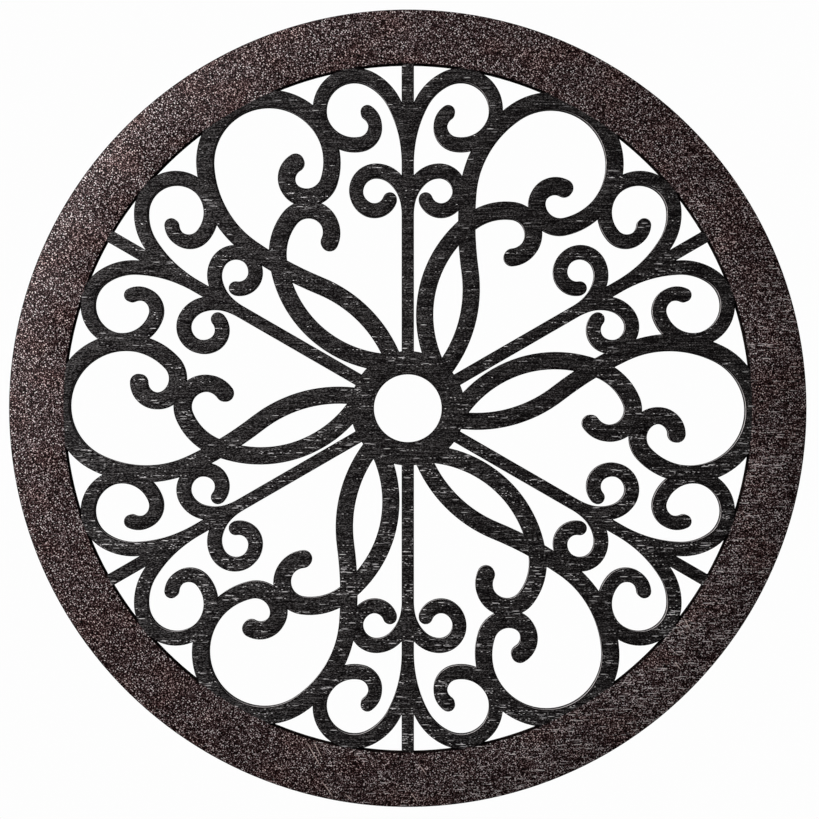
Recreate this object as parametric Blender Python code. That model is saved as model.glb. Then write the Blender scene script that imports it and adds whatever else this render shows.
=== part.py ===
"""Round wall medallion: one flat board, cut right through with six turns of scrollwork.

The board lies against the wall in the XZ plane. Its back is at y = 0 and its front
faces -Y. The origin is on the back of the rim, at the top, where the board is held.
Outlines are worked out in the plane of the board, in millimetres from the disc's
centre with the second coordinate up, and are then given the board's thickness.
"""

import math

import bmesh
import bpy
from mathutils import Matrix, Vector
from mathutils.geometry import delaunay_2d_cdt

for old in list(bpy.data.objects):
    bpy.data.objects.remove(old, do_unlink=True)

MM = 0.001

# The board, in millimetres. Its pattern repeats once in every sector.
DIAMETER = 304.8
THICKNESS = 6.0
RIM_WIDTH = 20.8
HUB_DIAMETER = 43.8
HUB_HOLE_DIAMETER = 26.0
SPOKE_WIDTH = 4.7
SECTORS = 6

# Round edges are cut as chords that stray this far from the true arc, and corners
# closer together than the shortest edge are made one.
CHORD_ERROR = 0.15
SHORTEST_EDGE = 0.25

# The scrolls of the sector whose spoke points straight up. Each one is a band along
# arcs that meet smoothly: where it starts, its heading there in degrees from +X, its
# width at the start, the middle and the end, and its arcs as (radius, turn in
# degrees). A turn to the right is negative. The start lies inside the spoke or the
# hub, and the end is round.
RIM_SCROLL = {
    "start": (0.3, 101.8),
    "heading": 81.5,
    "widths": (5.0, 5.4, 5.2),
    "arcs": ((48.2, -19.5), (20.7, -36.0), (13.3, -217.0), (6.7, -135.0)),
}
SPOKE_SCROLL = {
    "start": (0.2, 79.4),
    "heading": 78.5,
    "widths": (5.4, 5.4, 5.2),
    "arcs": ((16.4, -36.0), (10.3, -41.0), (7.7, -152.0), (6.3, -100.0)),
}
PETAL_HOOK = {
    "start": (11.2, 15.6),
    "heading": 116.6,
    "widths": (6.6, 6.7, 6.4),
    "arcs": ((44.8, -79.1), (22.1, -45.0), (9.0, -106.0), (8.8, -62.0)),
}
GREAT_SCROLL = {
    "start": (12.9, 13.6),
    "heading": 50.8,
    "widths": (6.5, 6.6, 6.6),
    "arcs": (
        (50.7, 47.0),
        (137.4, -12.3),
        (42.0, -51.5),
        (24.3, -201.5),
        (8.9, -95.0),
        (7.1, -127.5),
    ),
}


def circle(radius):
    """Return the points of a circle about the centre, anticlockwise."""
    step = 2.0 * math.acos(1.0 - CHORD_ERROR / radius)
    count = SECTORS * math.ceil(2.0 * math.pi / step / SECTORS)
    angles = [2.0 * math.pi * index / count for index in range(count)]
    return [Vector((radius * math.cos(a), radius * math.sin(a))) for a in angles]


def spoke():
    """Return the outline of the straight bar from the hub up to the rim."""
    half = SPOKE_WIDTH / 2.0
    inner = (HUB_DIAMETER + HUB_HOLE_DIAMETER) / 4.0
    outer = (DIAMETER - RIM_WIDTH) / 2.0
    return [Vector(p) for p in ((half, inner), (half, outer), (-half, outer), (-half, inner))]


def band(scroll):
    """Return the outline of one scroll, anticlockwise."""
    point = Vector(scroll["start"])
    heading = math.radians(scroll["heading"])
    lengths = [radius * math.radians(abs(turn)) for radius, turn in scroll["arcs"]]
    total = sum(lengths)
    first, middle, last = scroll["widths"]

    def half_width(distance):
        part = 2.0 * distance / total
        if part < 1.0:
            return (first + (middle - first) * part) / 2.0
        return (middle + (last - middle) * (part - 1.0)) / 2.0

    def side_points(centre, direction, distance):
        offset = Vector((-direction.y, direction.x)) * half_width(distance)
        return centre - offset, centre + offset

    direction = Vector((math.cos(heading), math.sin(heading)))
    right, left = [[side] for side in side_points(point, direction, 0.0)]
    travelled = 0.0
    for (radius, turn), length in zip(scroll["arcs"], lengths):
        side = math.copysign(1.0, turn)
        sweep = math.radians(turn)
        centre = point + Vector((-math.sin(heading), math.cos(heading))) * radius * side
        outer_radius = radius + middle / 2.0
        step = 2.0 * math.acos(1.0 - CHORD_ERROR / outer_radius)
        count = math.ceil(abs(sweep) / step)
        for index in range(1, count + 1):
            angle = heading + sweep * index / count
            direction = Vector((math.cos(angle), math.sin(angle)))
            here = centre + Vector((math.sin(angle), -math.cos(angle))) * radius * side
            distance = travelled + length * index / count
            pair = side_points(here, direction, distance)
            right.append(pair[0])
            left.append(pair[1])
        point = here
        heading += sweep
        travelled += length

    end_radius = last / 2.0
    step = 2.0 * math.acos(1.0 - CHORD_ERROR / end_radius)
    count = math.ceil(math.pi / step)
    tip = []
    for index in range(1, count):
        angle = heading - math.pi / 2.0 + math.pi * index / count
        tip.append(point + Vector((math.cos(angle), math.sin(angle))) * end_radius)
    return right + tip + left[::-1]


def mirrored(outline):
    """Return the outline on the other side of the spoke, still anticlockwise."""
    return [Vector((-point.x, point.y)) for point in reversed(outline)]


def turned(outline, angle):
    """Return the outline turned about the disc's centre."""
    turn = Matrix.Rotation(math.radians(angle), 2)
    return [turn @ point for point in outline]


def board_edges():
    """Return points, and the edges between them that bound the board's wood.

    The outlines are laid over each other and cut into triangles where they cross. A
    triangle is wood if it lies in the rim or the scrollwork, and not in the hub hole.
    An edge of only one such triangle is an edge of the board.
    """
    rim_scroll = band(RIM_SCROLL)
    spoke_scroll = band(SPOKE_SCROLL)
    sector = [
        spoke(),
        rim_scroll,
        mirrored(rim_scroll),
        spoke_scroll,
        mirrored(spoke_scroll),
        band(PETAL_HOOK),
        band(GREAT_SCROLL),
    ]
    outlines = [
        circle(DIAMETER / 2.0),
        circle(DIAMETER / 2.0 - RIM_WIDTH),
        circle(HUB_HOLE_DIAMETER / 2.0),
        circle(HUB_DIAMETER / 2.0),
    ]
    disc, window, hub_hole = range(3)
    for index in range(SECTORS):
        outlines.extend(turned(outline, 360.0 * index / SECTORS) for outline in sector)

    points = []
    faces = []
    for outline in outlines:
        faces.append(list(range(len(points), len(points) + len(outline))))
        points.extend(outline)
    points, _, triangles, _, _, sources = delaunay_2d_cdt(points, [], faces, 1, 1e-5)

    uses = {}
    for triangle, source in zip(triangles, sources):
        in_scrollwork = any(outline > hub_hole for outline in source)
        in_rim = disc in source and window not in source
        if hub_hole in source or not (in_scrollwork or in_rim):
            continue
        for start, end in zip(triangle, triangle[1:] + triangle[:1]):
            edge = (min(start, end), max(start, end))
            uses[edge] = uses.get(edge, 0) + 1
    return points, [edge for edge, count in uses.items() if count == 1]


def filled_board(points, edges):
    """Return a flat mesh of the board's back, with its close corners made one."""
    centre_height = -(DIAMETER - RIM_WIDTH) / 2.0
    board = bmesh.new()
    corners = {}
    for index in sorted({index for edge in edges for index in edge}):
        point = points[index]
        place = Vector((point.x, 0.0, point.y + centre_height)) * MM
        corners[index] = board.verts.new(place)
    for start, end in edges:
        board.edges.new((corners[start], corners[end]))
    bmesh.ops.remove_doubles(board, verts=board.verts, dist=SHORTEST_EDGE * MM)
    bmesh.ops.triangle_fill(board, use_beauty=True, edges=board.edges)
    return board


def add_material(name, colour, roughness, metallic):
    """Return a new material of one even colour."""
    material = bpy.data.materials.new(name)
    material.use_nodes = True
    shader = material.node_tree.nodes["Principled BSDF"]
    shader.inputs["Base Color"].default_value = (*colour, 1.0)
    shader.inputs["Roughness"].default_value = roughness
    shader.inputs["Metallic"].default_value = metallic
    return material


def add_board():
    """Add the board: the filled outline, carried through the board's thickness."""
    board = filled_board(*board_edges())
    copied = bmesh.ops.extrude_face_region(board, geom=board.faces, use_keep_orig=True)
    front = [item for item in copied["geom"] if isinstance(item, bmesh.types.BMVert)]
    bmesh.ops.translate(board, verts=front, vec=(0.0, -THICKNESS * MM, 0.0))
    bmesh.ops.recalc_face_normals(board, faces=board.faces)
    mesh = bpy.data.meshes.new("medallion_board")
    board.to_mesh(mesh)
    board.free()
    mesh.shade_smooth()
    mesh.set_sharp_from_angle(angle=math.radians(30.0))
    mesh.materials.append(add_material("charcoal_stained_board", (0.035, 0.03, 0.03), 0.8, 0.0))
    medallion = bpy.data.objects.new("medallion_board", mesh)
    bpy.context.scene.collection.objects.link(medallion)


add_board()
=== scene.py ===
"""Looks of the wall medallion: a laser-cut board, stained charcoal on its scrollwork and
sprayed with a bronze-flecked coat on its rim.

The pattern is modelled flat about the disc's centre, in millimetres from the sizes that
part.py also has, and is then set on the frame.
"""

import math

import bmesh
import bpy
from mathutils import Matrix, Vector


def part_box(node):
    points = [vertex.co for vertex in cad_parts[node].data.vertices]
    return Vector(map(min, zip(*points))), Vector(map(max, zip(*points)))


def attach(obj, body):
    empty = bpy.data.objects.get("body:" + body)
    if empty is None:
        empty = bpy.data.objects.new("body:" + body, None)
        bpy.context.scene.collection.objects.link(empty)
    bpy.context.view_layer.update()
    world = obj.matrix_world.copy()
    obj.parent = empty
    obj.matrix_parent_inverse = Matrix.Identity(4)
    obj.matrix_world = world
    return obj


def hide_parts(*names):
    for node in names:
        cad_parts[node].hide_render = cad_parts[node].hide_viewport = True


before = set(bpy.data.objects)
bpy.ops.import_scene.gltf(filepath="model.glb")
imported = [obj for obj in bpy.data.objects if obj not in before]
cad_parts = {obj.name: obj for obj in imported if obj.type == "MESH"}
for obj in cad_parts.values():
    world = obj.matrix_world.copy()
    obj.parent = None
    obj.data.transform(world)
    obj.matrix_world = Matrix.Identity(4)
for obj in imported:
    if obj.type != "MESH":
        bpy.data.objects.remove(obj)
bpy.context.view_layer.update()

# Metres in a millimetre, and the way that the board faces.
MM = 0.001
TO_VIEWER = Vector((0.0, -1.0, 0.0))

# The board, as the frame gives it, and its pattern's sizes in millimetres.
low, high = (Vector(corner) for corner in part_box("medallion_board"))
CENTRE = Vector(((low.x + high.x) / 2.0, high.y, (low.z + high.z) / 2.0))
DIAMETER = (high.x - low.x) / MM
THICKNESS = (high.y - low.y) / MM
RIM_WIDTH = 20.8
HUB_DIAMETER = 43.8
HUB_HOLE_DIAMETER = 26.0
SPOKE_WIDTH = 4.7
SECTORS = 6
WINDOW_RADIUS = DIAMETER / 2.0 - RIM_WIDTH
SPOKE_HEAD_RADIUS = DIAMETER / 2.0 - RIM_WIDTH * 0.8
ARRIS = 0.27
ARC_ERROR = 0.02

# Two points this close are made one: where bars start together, and on the whole board.
START_MERGE = 0.001
BOARD_MERGE = 0.03

# Faces that bend less than the first are made one, and edges that bend more than the
# second stay sharp. A face is the board's front or back if its normal leans that way by
# more than the third.
FLAT_BEND = math.radians(0.3)
SHARP_BEND = math.radians(30.0)
FACING = 0.9

# Scrolls of the sector whose spoke points up: start, heading in degrees from +X,
# width, and arcs as (radius, turn in degrees), where a right turn is negative. A root
# starts as the right half of the spoke, and eases its side into that of a scroll.
HALF_SPOKE = SPOKE_WIDTH / 2.0
RIM_ROOT = ((HALF_SPOKE / 2.0, 93.7), 90.0, HALF_SPOKE, ((53.1, -10.0),))
RIM_SCROLL = ((0.3, 101.8), 81.5, 5.3, ((48.2, -19.5), (20.7, -36.0), (13.3, -217.0), (6.7, -135.0)))
SPOKE_ROOT = ((HALF_SPOKE / 2.0, 74.2), 90.0, HALF_SPOKE, ((24.6, -14.0),))
SPOKE_SCROLL = ((0.2, 79.4), 78.5, 5.35, ((16.4, -36.0), (10.3, -41.0), (7.7, -152.0), (6.3, -100.0)))
PETAL_HOOK = ((11.2, 15.6), 116.6, 6.6, ((44.8, -79.1), (22.1, -45.0), (9.0, -106.0), (8.8, -62.0)))
GREAT_SCROLL = (
    (12.9, 13.6),
    50.8,
    6.55,
    ((50.7, 47.0), (137.4, -12.3), (42.0, -51.5), (24.3, -201.5), (8.9, -95.0), (7.1, -127.5)),
)

# Scratches in the rim's coat: middle and length in millimetres, with the lie between
# them, in degrees from +X.
SCRATCHES = (
    ((-35.9, -132.3), -60.2, 16.0),
    ((-34.5, -130.3), -62.0, 8.4),
    ((-30.9, -145.2), -53.8, 10.6),
    ((-22.7, -148.6), -42.3, 5.2),
    ((5.6, -137.9), -51.8, 7.0),
    ((2.6, -148.8), -55.3, 6.0),
    ((106.7, -82.3), -58.4, 6.2),
    ((103.2, -98.5), -51.3, 5.0),
)
SCRATCH_WIDTH = 0.5

# Finishes, in the order of the board's material slots.
STAIN, RIM_COAT, SCORCHED_ARRIS, CUT_WALL, RIM_WALL, PLAIN_BACK = range(6)

# Turns that keep the rows of a noise's lattice, and of a pattern's cells, from showing.
LATTICE_TURN = (0.6, 0.5, 0.7)
CELL_TURN = math.radians(37.0)

# The floor, in metres. It lies below the disc's centre and glows like a lit sweep.
FLOOR_DROP = 1.4
FLOOR_RADIUS = 6.0
FLOOR_GLOW = 0.95
PALE_PAINT = "#f2f1ee"

# The white surroundings, as light on the board and as the camera sees them.
AMBIENT = 0.03
BACKDROP = 0.985

# The photograph's size, and where the disc lies in it, in its pixels.
PHOTO_SIZE = 819.0
PHOTO_DISC_CENTRE = (407.8, 408.25)
PHOTO_DISC_RADIUS = 398.85

# The camera's distance from the board's front in metres, and its sensor in millimetres.
CAMERA_DISTANCE = 0.9
SENSOR_WIDTH = 36.0


def steps(radius, turn):
    """Return how many chords an arc needs to stay within the arc error."""
    chord = 2.0 * math.acos(1.0 - ARC_ERROR / radius)
    return max(1, math.ceil(abs(math.radians(turn)) / chord))


def add_scroll(flat, start, heading, width, arcs):
    """Sweep a flat band: an edge across its start is spun along each arc in turn."""
    point = Vector((start[0], 0.0, start[1]))
    heading = math.radians(heading)
    side = Vector((-math.sin(heading), 0.0, math.cos(heading)))
    left = flat.verts.new(point + side * width / 2.0)
    right = flat.verts.new(point - side * width / 2.0)
    across = [left, right, flat.edges.new((left, right))]
    for radius, turn in arcs:
        centre = point + side * math.copysign(radius, turn)
        spun = bmesh.ops.spin(
            flat,
            geom=across,
            cent=centre,
            axis=TO_VIEWER,
            angle=math.radians(turn),
            steps=steps(radius + width / 2.0, turn),
        )
        across = spun["geom_last"]
        bend = Matrix.Rotation(math.radians(turn), 3, TO_VIEWER)
        point = centre + bend @ (point - centre)
        side = bend @ side
    end = next(item for item in across if isinstance(item, bmesh.types.BMEdge))
    right = min(end.verts, key=lambda vert: (vert.co - point).dot(side))
    half, middle = bmesh.utils.edge_split(end, right, 0.5)
    bmesh.ops.spin(
        flat,
        geom=[middle, right, half],
        cent=middle.co.copy(),
        axis=TO_VIEWER,
        angle=math.pi,
        steps=steps(width / 2.0, 180.0),
    )


def add_annulus(flat, inner, outer):
    """Spin an edge into a flat ring."""
    ends = [flat.verts.new((radius, 0.0, 0.0)) for radius in (inner, outer)]
    count = SECTORS * math.ceil(steps(outer, 360.0) / SECTORS)
    edge = flat.edges.new(ends)
    bmesh.ops.spin(
        flat,
        geom=[*ends, edge],
        axis=TO_VIEWER,
        angle=math.tau,
        steps=count,
        use_merge=True,
    )


def verts_of(result):
    """Return the vertices of what a mesh operator made."""
    return [item for item in result["geom"] if isinstance(item, bmesh.types.BMVert)]


def thicken(flat):
    """Carry a flat shape through the board's thickness, towards the viewer."""
    for face in flat.faces:
        if face.normal.y < 0.0:
            face.normal_flip()
    raised = bmesh.ops.extrude_face_region(flat, geom=flat.faces[:], use_keep_orig=True)
    bmesh.ops.translate(flat, verts=verts_of(raised), vec=TO_VIEWER * THICKNESS)
    bmesh.ops.recalc_face_normals(flat, faces=flat.faces[:])


def make_object(name, shape):
    """Turn a shape into a new object in the scene, at the origin."""
    mesh = bpy.data.meshes.new(name)
    shape.to_mesh(mesh)
    shape.free()
    thing = bpy.data.objects.new(name, mesh)
    bpy.context.scene.collection.objects.link(thing)
    return thing


def scrollwork():
    """Return the spokes, scrolls and hub as crossing bars, one body each."""
    shape = bmesh.new()
    for scroll in (RIM_ROOT, RIM_SCROLL, SPOKE_ROOT, SPOKE_SCROLL):
        add_scroll(shape, *scroll)
    pair = bmesh.ops.duplicate(shape, geom=[*shape.verts, *shape.edges, *shape.faces])
    bmesh.ops.scale(shape, verts=verts_of(pair), vec=(-1.0, 1.0, 1.0))
    add_scroll(shape, *PETAL_HOOK)
    add_scroll(shape, *GREAT_SCROLL)
    foot = (HUB_DIAMETER + HUB_HOLE_DIAMETER) / 4.0
    ends = [shape.verts.new((side * HALF_SPOKE, 0.0, foot)) for side in (-1.0, 1.0)]
    raised = bmesh.ops.extrude_edge_only(shape, edges=[shape.edges.new(ends)])
    bmesh.ops.translate(shape, verts=verts_of(raised), vec=(0.0, 0.0, SPOKE_HEAD_RADIUS - foot))
    bmesh.ops.remove_doubles(shape, verts=shape.verts, dist=START_MERGE)
    sector = [*shape.verts, *shape.edges, *shape.faces]
    for index in range(1, SECTORS):
        copy = bmesh.ops.duplicate(shape, geom=sector)
        turn = Matrix.Rotation(math.tau * index / SECTORS, 3, TO_VIEWER)
        bmesh.ops.rotate(shape, verts=verts_of(copy), matrix=turn)
    add_annulus(shape, HUB_HOLE_DIAMETER / 2.0, HUB_DIAMETER / 2.0)
    thicken(shape)
    return make_object("crossing_bars", shape)


def cut_board(bars):
    """Return the rim and the bars joined into one board, with its arrises eased."""
    ring = bmesh.new()
    add_annulus(ring, WINDOW_RADIUS, DIAMETER / 2.0)
    thicken(ring)
    rim = make_object("medallion", ring)
    union = rim.modifiers.new("one_board", "BOOLEAN")
    union.operation = "UNION"
    union.solver = "EXACT"
    union.use_self = True
    union.object = bars
    joined = rim.evaluated_get(bpy.context.evaluated_depsgraph_get())
    board = bmesh.new()
    board.from_mesh(joined.to_mesh())
    rim.modifiers.remove(union)
    bpy.data.objects.remove(bars, do_unlink=True)

    for face in board.faces:
        on_rim = face.calc_center_median().xz.length > WINDOW_RADIUS - ARC_ERROR * 2.0
        if face.normal.y > FACING:
            face.material_index = PLAIN_BACK
        elif face.normal.y > -FACING:
            face.material_index = RIM_WALL if on_rim else CUT_WALL
        else:
            face.material_index = RIM_COAT if on_rim else STAIN
    bmesh.ops.dissolve_limit(
        board,
        angle_limit=FLAT_BEND,
        verts=board.verts,
        edges=board.edges,
        delimit={"MATERIAL"},
    )
    bmesh.ops.remove_doubles(board, verts=board.verts, dist=BOARD_MERGE)
    flat = (RIM_COAT, STAIN, PLAIN_BACK)
    arrises = [
        edge
        for edge in board.edges
        if sorted(face.material_index in flat for face in edge.link_faces) == [False, True]
    ]
    eased = bmesh.ops.bevel(
        board,
        geom=arrises,
        offset=ARRIS,
        offset_type="OFFSET",
        segments=2,
        profile=0.5,
        affect="EDGES",
        clamp_overlap=False,
        loop_slide=False,
        material=-1,
    )
    for face in eased["faces"]:
        face.material_index = SCORCHED_ARRIS
    for finish in flat:
        refill(board, finish)
    bmesh.ops.recalc_face_normals(board, faces=board.faces[:])
    bmesh.ops.triangulate(board, faces=board.faces)
    bmesh.ops.scale(board, verts=board.verts, vec=(MM, MM, MM))
    bmesh.ops.translate(board, verts=board.verts, vec=CENTRE)
    board.to_mesh(rim.data)
    board.free()
    rim.data.shade_smooth()
    rim.data.set_sharp_from_angle(angle=SHARP_BEND)
    return rim


def refill(board, finish):
    """Fill the outline of a flat finish afresh, as the eased arrises have left it."""
    board.edges.index_update()
    flat = {face for face in board.faces if face.material_index == finish}
    sides = {edge for face in flat for edge in face.edges}
    outline = [edge for edge in sides if sum(face in flat for face in edge.link_faces) == 1]
    outline.sort(key=lambda edge: edge.index)
    bmesh.ops.delete(board, geom=list(flat), context="FACES_KEEP_BOUNDARY")
    filled = bmesh.ops.triangle_fill(board, use_beauty=True, edges=outline)
    for item in filled["geom"]:
        if isinstance(item, bmesh.types.BMFace):
            item.material_index = finish


def linear(hex_colour):
    """Turn an sRGB hex colour into a linear one with full alpha."""
    parts = [int(hex_colour[at : at + 2], 16) / 255.0 for at in (1, 3, 5)]
    return (*[p / 12.92 if p <= 0.04045 else ((p + 0.055) / 1.055) ** 2.4 for p in parts], 1.0)


def add(tree, kind, inputs, stops=(), **settings):
    """Add a node with its settings, and set or link each of its inputs.

    The stops of a colour ramp are (position, hex colour), from low to high. A Mix node
    names several inputs alike, so they go by number: 0 is how much of the second, 2 and
    3 are the two numbers, 6 and 7 the two colours. Its mixed colour is output 2.
    """
    node = tree.nodes.new(kind)
    for name, value in settings.items():
        setattr(node, name, value)
    if stops:
        elements = node.color_ramp.elements
        elements[0].position, elements[1].position = stops[0][0], stops[-1][0]
        for position, _ in stops[1:-1]:
            elements.new(position)
        for element, (_, colour) in zip(elements, stops):
            element.color = linear(colour)
    for name, value in inputs.items():
        if isinstance(value, bpy.types.NodeSocket):
            tree.links.new(value, node.inputs[name])
        else:
            node.inputs[name].default_value = value
    return node


def new_finish(name, roughness, specular):
    """Return a material, its node tree, its shader, and the place in millimetres from
    the centre of the board's back.
    """
    finish = bpy.data.materials.new(name)
    finish.use_nodes = True
    tree = finish.node_tree
    shader = tree.nodes["Principled BSDF"]
    shader.inputs["Roughness"].default_value = roughness
    shader.inputs["Specular IOR Level"].default_value = specular
    spot = add(tree, "ShaderNodeTexCoord", {}).outputs["Object"]
    scaled = {"Vector": spot, "Location": tuple(-CENTRE / MM), "Scale": (1.0 / MM,) * 3}
    place = add(tree, "ShaderNodeMapping", scaled).outputs[0]
    return finish, tree, shader, place


def mottle(tree, place, long, high, shift=0.0, detail=0.0):
    """Return noise whose grains are long millimetres across and high millimetres up.

    The noise is turned after it is squeezed, so that its lattice doesn't show as rows.
    """
    stretch = {
        "Vector": place,
        "Location": (shift, shift, shift),
        "Rotation": LATTICE_TURN,
        "Scale": (1.0 / long, 1.0 / long, 1.0 / high),
    }
    squeezed = add(tree, "ShaderNodeMapping", stretch).outputs[0]
    grains = {"Vector": squeezed, "Scale": 1.0, "Detail": detail, "Roughness": 0.6}
    return add(tree, "ShaderNodeTexNoise", grains).outputs["Fac"]


def slope(tree, place, direction, start, end, low, high):
    """Return low up to start along a direction, and high beyond end.

    Start and end are in millimetres, times the length of the direction.
    """
    along = {0: place, 1: direction}
    reach = add(tree, "ShaderNodeVectorMath", along, operation="DOT_PRODUCT").outputs["Value"]
    span = {"Value": reach, "From Min": start, "From Max": end, "To Min": low, "To Max": high}
    return add(tree, "ShaderNodeMapRange", span).outputs[0]


def dashes(tree, place, long, high, bias, shift, full):
    """Return pale level dashes, one at most in each cell of long by high millimetres.

    A dash is about half a cell long and half a cell high. Each cell draws a number up
    to one. Its dash begins to show where that and the bias together pass a half, and
    shows fully where they reach full. The cells are turned after they are squeezed, so
    that the dashes don't stand in columns.
    """
    face_on = {
        "Vector": place,
        "Location": (shift, shift, 0.0),
        "Rotation": (math.radians(90.0), 0.0, CELL_TURN),
        "Scale": (1.0 / long, 1.0, 1.0 / high),
    }
    squeezed = add(tree, "ShaderNodeMapping", face_on).outputs[0]
    cells = add(
        tree,
        "ShaderNodeTexVoronoi",
        {"Vector": squeezed, "Scale": 1.0},
        voronoi_dimensions="2D",
    )
    spread = {"Value": cells.outputs["Distance"], "From Min": 0.3, "From Max": 0.2}
    shape = add(tree, "ShaderNodeMapRange", spread).outputs[0]
    drawn = add(tree, "ShaderNodeSeparateColor", {0: cells.outputs["Color"]}).outputs[0]
    total = add(tree, "ShaderNodeMath", {0: drawn, 1: bias}, operation="ADD").outputs[0]
    strength = {"Value": total, "From Min": 0.5, "From Max": full}
    shown = add(tree, "ShaderNodeMapRange", strength).outputs[0]
    return add(tree, "ShaderNodeMath", {0: shape, 1: shown}, operation="MULTIPLY").outputs[0]


def bare_pores(tree, place, rubbed):
    """Return where pores show pale: short and long dashes, in rows and in patches."""
    rows = mottle(tree, place, long=16.0, high=0.55, shift=7.0)
    patches = mottle(tree, place, long=30.0, high=9.0, shift=3.0)
    mixed = add(tree, "ShaderNodeMix", {0: 0.3, 2: rows, 3: patches}).outputs[0]
    gather = {"Value": mixed, "From Min": 0.3, "From Max": 0.7, "To Min": -0.5, "To Max": 0.5}
    gathered = add(tree, "ShaderNodeMapRange", gather).outputs[0]
    bias = add(tree, "ShaderNodeMath", {0: gathered, 1: rubbed}, operation="ADD").outputs[0]
    short = dashes(tree, place, long=1.3, high=0.55, bias=bias, shift=1.3, full=0.8)
    long = dashes(tree, place, long=5.0, high=0.55, bias=bias, shift=5.1, full=0.8)
    return add(tree, "ShaderNodeMath", {0: short, 1: long}, operation="MAXIMUM").outputs[0]


def scratched(tree, place):
    """Return where the scratches lie, each one fading out towards its ends and sides.

    Each one is a ball stretched along the scratch. Its middle lies at the board's back,
    and the front cuts it half way out.
    """
    marks = 0.0
    for (x, z), lie, length in SCRATCHES:
        span = {
            "Vector": place,
            "Location": (x, 0.0, z),
            "Rotation": (0.0, math.radians(-lie), 0.0),
            "Scale": (length / 2.0, THICKNESS * 2.0, SCRATCH_WIDTH / 2.0),
        }
        across = add(tree, "ShaderNodeMapping", span, vector_type="TEXTURE").outputs[0]
        mark = add(tree, "ShaderNodeTexGradient", {"Vector": across}, gradient_type="SPHERICAL")
        marks = add(
            tree,
            "ShaderNodeMath",
            {0: marks, 1: mark.outputs["Fac"]},
            operation="MAXIMUM",
        ).outputs[0]
    spread = {"Value": marks, "From Min": 0.0, "From Max": 0.35}
    return add(tree, "ShaderNodeMapRange", spread).outputs[0]


def stained_board():
    """Charcoal stain wiped over close-grained board, then rubbed back: matt and nearly
    black, with fine level grain and the pale dashes of pores that took no stain. Real
    pores are about 0.1 mm wide. They are drawn at 0.2 to 0.3 mm, to show in a view of
    the whole board.
    """
    finish, tree, shader, place = new_finish("charcoal_wiped_stain", roughness=0.55, specular=0.05)
    fine = mottle(tree, place, long=0.5, high=0.26)
    lines = mottle(tree, place, long=8.0, high=0.34, shift=11.0)
    grain = add(tree, "ShaderNodeMix", {0: 0.4, 2: fine, 3: lines}).outputs[0]
    ground = add(
        tree,
        "ShaderNodeValToRGB",
        {"Fac": grain},
        stops=[
            (0.37, "#040203"),
            (0.44, "#0f0d0e"),
            (0.50, "#1c1919"),
            (0.56, "#2b2828"),
            (0.62, "#423f3f"),
            (0.69, "#686565"),
        ],
    ).outputs[0]
    # More of the grey grain strokes show towards the left, lightening that side: this is painted
    # sheen where the key light falls from the upper left, not wear.
    painted_sheen_bias = slope(tree, place, (1.0, 0.0, 0.2), start=-130.0, end=110.0, low=0.3, high=-0.2)
    strokes = dashes(tree, place, long=1.7, high=0.42, bias=painted_sheen_bias, shift=8.3, full=0.9)
    hairs = {0: strokes, 6: ground, 7: linear("#625f60")}
    haired = add(tree, "ShaderNodeMix", hairs, data_type="RGBA").outputs[2]
    rubbed = slope(tree, place, (0.15, 0.0, -1.0), start=-110.0, end=70.0, low=-0.66, high=-0.4)
    bare = bare_pores(tree, place, rubbed)
    pale = {0: bare, 6: haired, 7: linear("#f3eff0")}
    colour = add(tree, "ShaderNodeMix", pale, data_type="RGBA").outputs[2]
    relief = add(
        tree,
        "ShaderNodeBump",
        {"Height": grain, "Strength": 0.2, "Distance": 0.06 * MM},
    ).outputs[0]
    tree.links.new(colour, shader.inputs["Base Color"])
    tree.links.new(relief, shader.inputs["Normal"])
    return finish


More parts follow.
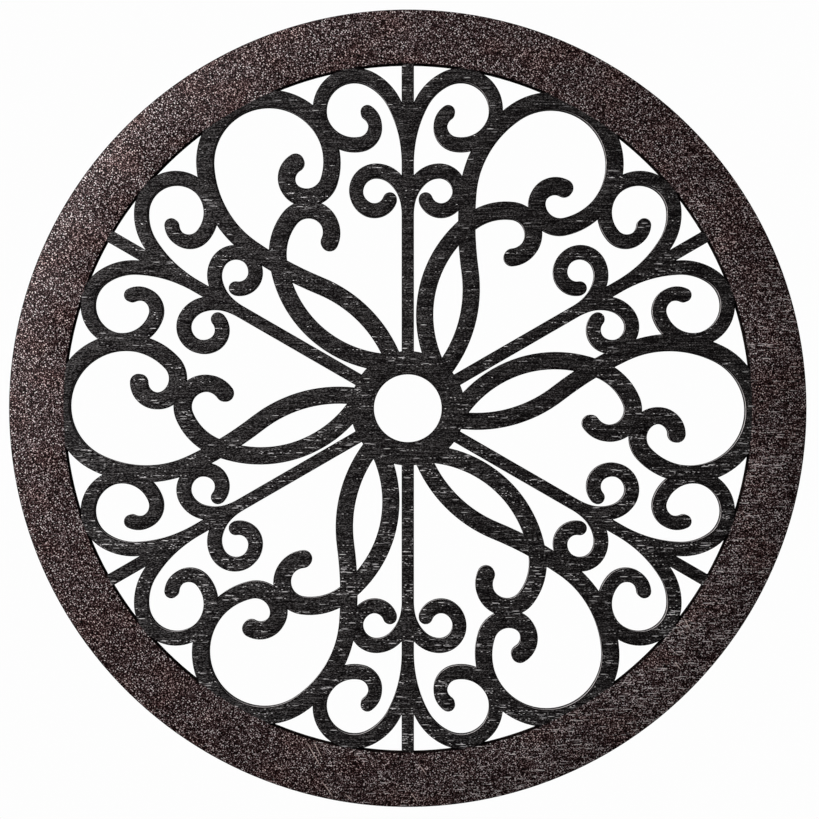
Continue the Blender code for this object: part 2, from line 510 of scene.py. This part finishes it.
def flecked_rim():
    """Sprayed lacquer with bronze and mica fleck: dark brown, with sharp pinkish points
    and the board's grain showing through towards the right. Real flakes are under 0.1 mm
    across. They are drawn at 0.4 mm, to show in a view of the whole board.
    """
    finish, tree, shader, place = new_finish("bronze_fleck_lacquer", roughness=0.45, specular=0.08)
    flakes = add(tree, "ShaderNodeTexVoronoi", {"Vector": place, "Scale": 1.0 / 0.36})
    tone = add(tree, "ShaderNodeSeparateColor", {0: flakes.outputs["Color"]}).outputs[0]
    spray = mottle(tree, place, long=0.46, high=0.42, shift=4.0)
    grain = mottle(tree, place, long=4.0, high=0.25, shift=9.0)
    fleck = add(tree, "ShaderNodeMix", {0: 0.2, 2: spray, 3: tone}).outputs[0]
    depth = slope(tree, place, (0.9, 0.0, -0.45), start=-20.0, end=130.0, low=0.0, high=0.3)
    around = add(tree, "ShaderNodeMath", {0: grain, 1: 0.5}, operation="SUBTRACT").outputs[0]
    lines = add(tree, "ShaderNodeMath", {0: around, 1: depth}, operation="MULTIPLY").outputs[0]
    shine = add(tree, "ShaderNodeMath", {0: fleck, 1: lines}, operation="ADD").outputs[0]
    coat = add(
        tree,
        "ShaderNodeValToRGB",
        {"Fac": shine},
        stops=[
            (0.33, "#020000"),
            (0.42, "#0c0404"),
            (0.50, "#231110"),
            (0.57, "#432f2f"),
            (0.64, "#735f60"),
            (0.71, "#b0a0a1"),
            (0.78, "#e8dede"),
        ],
    ).outputs[0]
    points = dashes(tree, place, long=0.85, high=0.75, bias=-0.31, shift=6.1, full=0.6)
    flecked = {0: points, 6: coat, 7: linear("#faf2f2")}
    sprayed = add(tree, "ShaderNodeMix", flecked, data_type="RGBA").outputs[2]
    patches = mottle(tree, place, long=13.0, high=9.0, shift=8.0)
    gather = {"Value": patches, "From Min": 0.45, "From Max": 0.7}
    warmth = add(tree, "ShaderNodeMapRange", gather).outputs[0]
    warm = {0: warmth, 6: sprayed, 7: linear("#fff2ee")}
    warmed = add(tree, "ShaderNodeMix", warm, data_type="RGBA", blend_type="MULTIPLY").outputs[2]
    rubbed = slope(tree, place, (0.8, 0.0, -0.6), start=-60.0, end=120.0, low=-0.95, high=-0.36)
    bare = bare_pores(tree, place, rubbed)
    pale = {0: bare, 6: warmed, 7: linear("#eee5e4")}
    grained = add(tree, "ShaderNodeMix", pale, data_type="RGBA").outputs[2]
    marks = {0: scratched(tree, place), 6: grained, 7: linear("#cfbbb4")}
    colour = add(tree, "ShaderNodeMix", marks, data_type="RGBA").outputs[2]
    relief = add(
        tree,
        "ShaderNodeBump",
        {"Height": shine, "Strength": 0.2, "Distance": 0.1 * MM},
    ).outputs[0]
    tree.links.new(colour, shader.inputs["Base Color"])
    tree.links.new(relief, shader.inputs["Normal"])
    shader.inputs["Metallic"].default_value = 0.1
    return finish


def scorched_arris():
    """The corner of the cut, burnt by the laser: soot black, with a little brown."""
    finish, tree, shader, place = new_finish("laser_scorched_arris", roughness=0.9, specular=0.02)
    burn = mottle(tree, place, long=1.5, high=1.5)
    colour = add(
        tree,
        "ShaderNodeValToRGB",
        {"Fac": burn},
        stops=[(0.3, "#040303"), (0.7, "#0e0b0b")],
    ).outputs[0]
    tree.links.new(colour, shader.inputs["Base Color"])
    return finish


def cut_wall():
    """The wall of the cut: ash-grey fibre, ridged by the laser's pulses and burnt black
    towards the back, where the beam left the board. The burn begins about 2 mm behind
    the front, which lies at -6 mm here.
    """
    finish, tree, shader, place = new_finish("smoked_cut_wall", roughness=0.8, specular=0.15)
    ridges = mottle(tree, place, long=0.5, high=0.5)
    ash = add(
        tree,
        "ShaderNodeValToRGB",
        {"Fac": ridges},
        stops=[(0.3, "#a09a9b"), (0.7, "#d0caca")],
    ).outputs[0]
    burnt = slope(tree, place, (0.0, 1.0, 0.0), start=-4.1, end=-3.7, low=0.0, high=1.0)
    smoke = {0: burnt, 6: ash, 7: linear("#0b0909")}
    colour = add(tree, "ShaderNodeMix", smoke, data_type="RGBA").outputs[2]
    tree.links.new(colour, shader.inputs["Base Color"])
    return finish


def rim_wall():
    """The rim's walls: the inner one burnt black by the laser, the outer one sprayed with
    the rim's dark brown coat over the burn.
    """
    finish, tree, shader, place = new_finish("sprayed_rim_wall", roughness=0.9, specular=0.0)
    specks = mottle(tree, place, long=0.6, high=0.6)
    soot = add(
        tree,
        "ShaderNodeValToRGB",
        {"Fac": specks},
        stops=[(0.35, "#060404"), (0.75, "#2a2220")],
    ).outputs[0]
    sprayed = add(
        tree,
        "ShaderNodeValToRGB",
        {"Fac": specks},
        stops=[(0.3, "#1e1110"), (0.5, "#3a2928"), (0.65, "#6b5856"), (0.8, "#b5a6a4")],
    ).outputs[0]
    reach = add(tree, "ShaderNodeVectorMath", {0: place}, operation="LENGTH").outputs["Value"]
    beyond = {
        "Value": reach,
        "From Min": WINDOW_RADIUS + RIM_WIDTH * 0.4,
        "From Max": WINDOW_RADIUS + RIM_WIDTH * 0.6,
    }
    outside = add(tree, "ShaderNodeMapRange", beyond).outputs[0]
    coats = {0: outside, 6: soot, 7: sprayed}
    colour = add(tree, "ShaderNodeMix", coats, data_type="RGBA").outputs[2]
    tree.links.new(colour, shader.inputs["Base Color"])
    return finish


def plain_back():
    """The back: one coat of the stain brushed on and left, with the grain just showing."""
    finish, tree, shader, place = new_finish("brushed_stain_back", roughness=0.85, specular=0.3)
    lines = mottle(tree, place, long=18.0, high=0.8, detail=3.0)
    colour = add(
        tree,
        "ShaderNodeValToRGB",
        {"Fac": lines},
        stops=[(0.3, "#221e1d"), (0.7, "#352e2c")],
    ).outputs[0]
    tree.links.new(colour, shader.inputs["Base Color"])
    return finish


medallion = cut_board(scrollwork())
for coat in (stained_board, flecked_rim, scorched_arris, cut_wall, rim_wall, plain_back):
    medallion.data.materials.append(coat())
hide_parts("medallion_board")
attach(medallion, "root")

# The floor, the lights and the camera.
floor_shape = bmesh.new()
bmesh.ops.create_circle(floor_shape, cap_ends=True, radius=FLOOR_RADIUS, segments=96)
floor_place = CENTRE + Vector((0.0, 0.0, -FLOOR_DROP))
bmesh.ops.translate(floor_shape, verts=floor_shape.verts, vec=floor_place)
floor = make_object("pale_floor", floor_shape)
floor_paint = bpy.data.materials.new("pale_floor_paint")
floor_paint.use_nodes = True
floor_shader = floor_paint.node_tree.nodes["Principled BSDF"]
floor_shader.inputs["Base Color"].default_value = linear(PALE_PAINT)
floor_shader.inputs["Roughness"].default_value = 0.9
floor_shader.inputs["Emission Color"].default_value = linear(PALE_PAINT)
floor_shader.inputs["Emission Strength"].default_value = FLOOR_GLOW
floor.data.materials.append(floor_paint)
floor.visible_diffuse = False
floor.visible_glossy = False


def add_soft_box(name, offset, size, power):
    """Add a square soft box that faces the medallion's centre, in metres and watts."""
    lamp = bpy.data.lights.new(name, "AREA")
    lamp.size = size
    lamp.energy = power
    box = bpy.data.objects.new(name, lamp)
    box.location = CENTRE + Vector(offset)
    box.rotation_euler = Vector(offset).to_track_quat("Z", "Y").to_euler()
    box.visible_camera = False
    bpy.context.scene.collection.objects.link(box)


add_soft_box("key_soft_box", (-0.433, -0.45, 0.25), size=0.4, power=4.6)
add_soft_box("fill_soft_box", (0.5, -1.2, -0.3), size=1.0, power=0.3)
add_soft_box("back_soft_box", (-0.9, 1.0, 0.6), size=0.5, power=11.0)

world = bpy.data.worlds.new("white_studio")
world.use_nodes = True
bpy.context.scene.world = world
seen = add(world.node_tree, "ShaderNodeLightPath", {}).outputs["Is Camera Ray"]
brightness = {"Value": seen, "To Min": AMBIENT, "To Max": BACKDROP}
strength = add(world.node_tree, "ShaderNodeMapRange", brightness)
background = world.node_tree.nodes["Background"]
background.inputs["Color"].default_value = (1.0, 1.0, 1.0, 1.0)
world.node_tree.links.new(strength.outputs[0], background.inputs["Strength"])
bpy.context.scene.view_settings.view_transform = "Standard"

pixel = DIAMETER * MM / 2.0 / PHOTO_DISC_RADIUS
middle = PHOTO_SIZE / 2.0
aim = Vector((middle - PHOTO_DISC_CENTRE[0], 0.0, PHOTO_DISC_CENTRE[1] - middle)) * pixel
lens = bpy.data.cameras.new("camera")
lens.sensor_width = SENSOR_WIDTH
lens.lens = SENSOR_WIDTH * CAMERA_DISTANCE / (PHOTO_SIZE * pixel)
camera = bpy.data.objects.new("camera", lens)
camera.location = CENTRE + aim + TO_VIEWER * (CAMERA_DISTANCE + THICKNESS * MM)
camera.rotation_euler = (math.radians(90.0), 0.0, 0.0)
bpy.context.scene.collection.objects.link(camera)
bpy.context.scene.camera = camera
